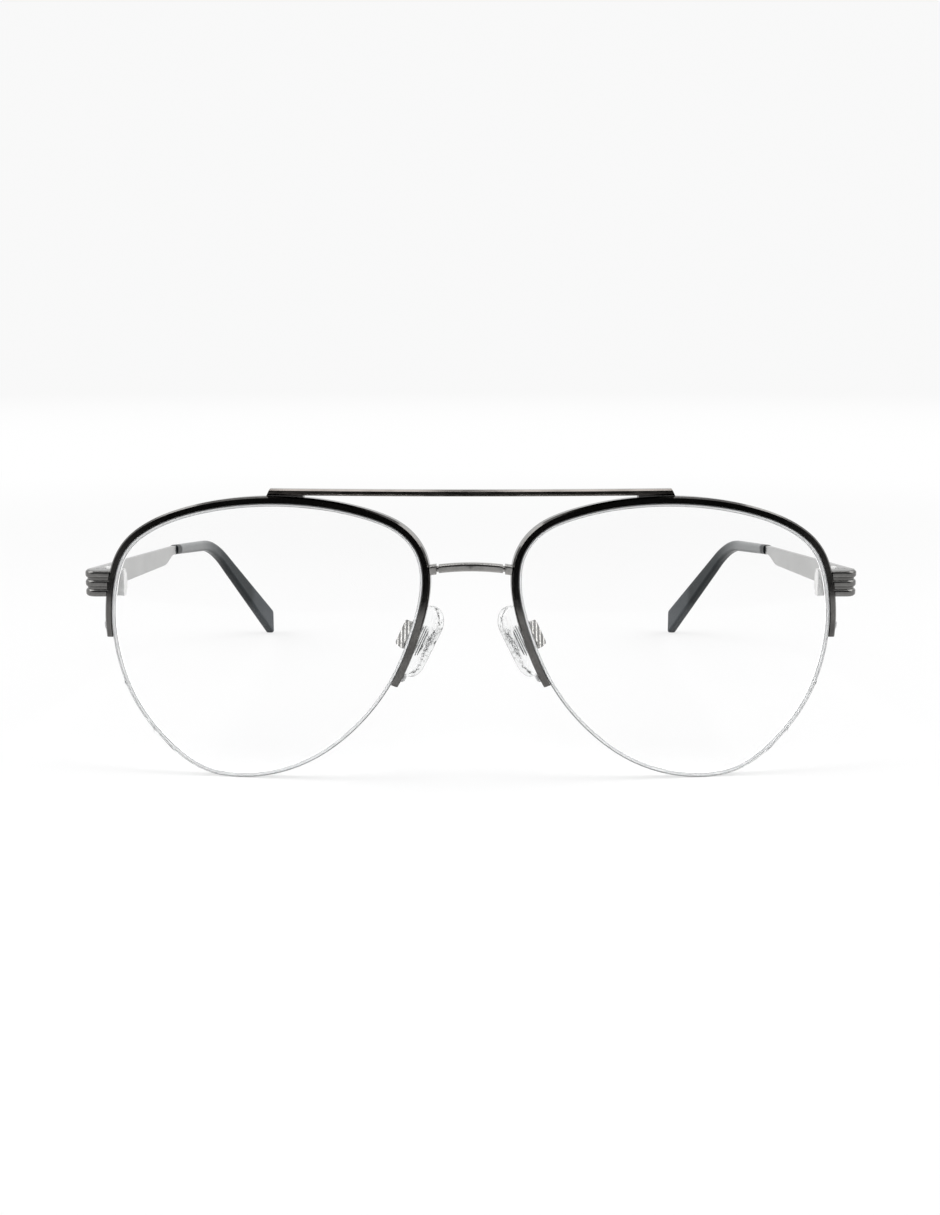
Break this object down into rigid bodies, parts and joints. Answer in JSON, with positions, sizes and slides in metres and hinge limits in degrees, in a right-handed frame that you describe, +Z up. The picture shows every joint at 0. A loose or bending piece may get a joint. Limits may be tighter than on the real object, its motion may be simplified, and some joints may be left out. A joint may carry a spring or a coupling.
{
  "type": "double bridge glasses",
  "caption": "Half-rim metal glasses with a brow bar above a lower bridge, clear navigator lenses held by nylon cord, swivelling nose pads and folding temples.",
  "frame": {"origin": "middle of the footprint, on the surface that the lenses and temple tips stand on", "axes": "+X to the wearer's left, -Y out of the front of the lenses, +Z up"},
  "size_m": [0.1408, 0.1428, 0.053],
  "materials": {
    "gunmetal": "gunmetal plated, satin on the flats",
    "temple_metal": "satin gunmetal",
    "lens": "clear polished demo lens",
    "nylon": "clear nylon",
    "silicone": "clear soft silicone",
    "core_plastic": "clear hard plastic",
    "acetate": "translucent blue-grey acetate, polished",
    "pad_metal": "bright",
    "screw_steel": "turned steel"
  },
  "bodies": {
    "front": {"rim_left": "gunmetal", "rim_right": "gunmetal", "lens_left": "lens", "lens_right": "lens", "nylon_cord_left": "nylon", "nylon_cord_right": "nylon", "rim_liner_left": "nylon", "rim_liner_right": "nylon", "brow_bar_standoff_left": "gunmetal", "brow_bar_standoff_right": "gunmetal", "end_piece_left": "gunmetal", "end_piece_right": "gunmetal", "front_hinge_leaf_left": "gunmetal", "front_hinge_leaf_right": "gunmetal", "hinge_screw_left": "screw_steel", "hinge_screw_right": "screw_steel", "pad_arm_left": "pad_metal", "pad_arm_right": "pad_metal", "pad_box_left": "pad_metal", "pad_box_right": "pad_metal", "pad_screw_left": "screw_steel", "pad_screw_right": "screw_steel", "brow_bar": "gunmetal", "bridge": "gunmetal"},
    "temple_left": {"temple_left": "temple_metal", "temple_tip_left": "acetate", "temple_hinge_leaf_left": "temple_metal"},
    "temple_right": {"temple_right": "temple_metal", "temple_tip_right": "acetate", "temple_hinge_leaf_right": "temple_metal"},
    "pad_left": {"nose_pad_left": "silicone", "pad_core_left": "core_plastic"},
    "pad_right": {"nose_pad_right": "silicone", "pad_core_right": "core_plastic"}
  },
  "joints": [
    {"name": "temple_left_fold", "type": "hinge", "parent": "front", "child": "temple_left", "pos_m": [0.06807, -0.06004, 0.03535], "axis": [0, 0, 1], "range_deg": [0, 85]},
    {"name": "temple_right_fold", "type": "hinge", "parent": "front", "child": "temple_right", "pos_m": [-0.06807, -0.06004, 0.03535], "axis": [0, 0, -1], "range_deg": [0, 78]},
    {"name": "pad_left_tilt", "type": "hinge", "parent": "front", "child": "pad_left", "pos_m": [0.01103, -0.06187, 0.02525], "axis": [0.4586, 0.8625, 0.2139], "range_deg": [-7, 7]},
    {"name": "pad_right_tilt", "type": "hinge", "parent": "front", "child": "pad_right", "pos_m": [-0.01103, -0.06187, 0.02525], "axis": [0.4586, -0.8625, -0.2139], "range_deg": [-7, 7]}
  ]
}
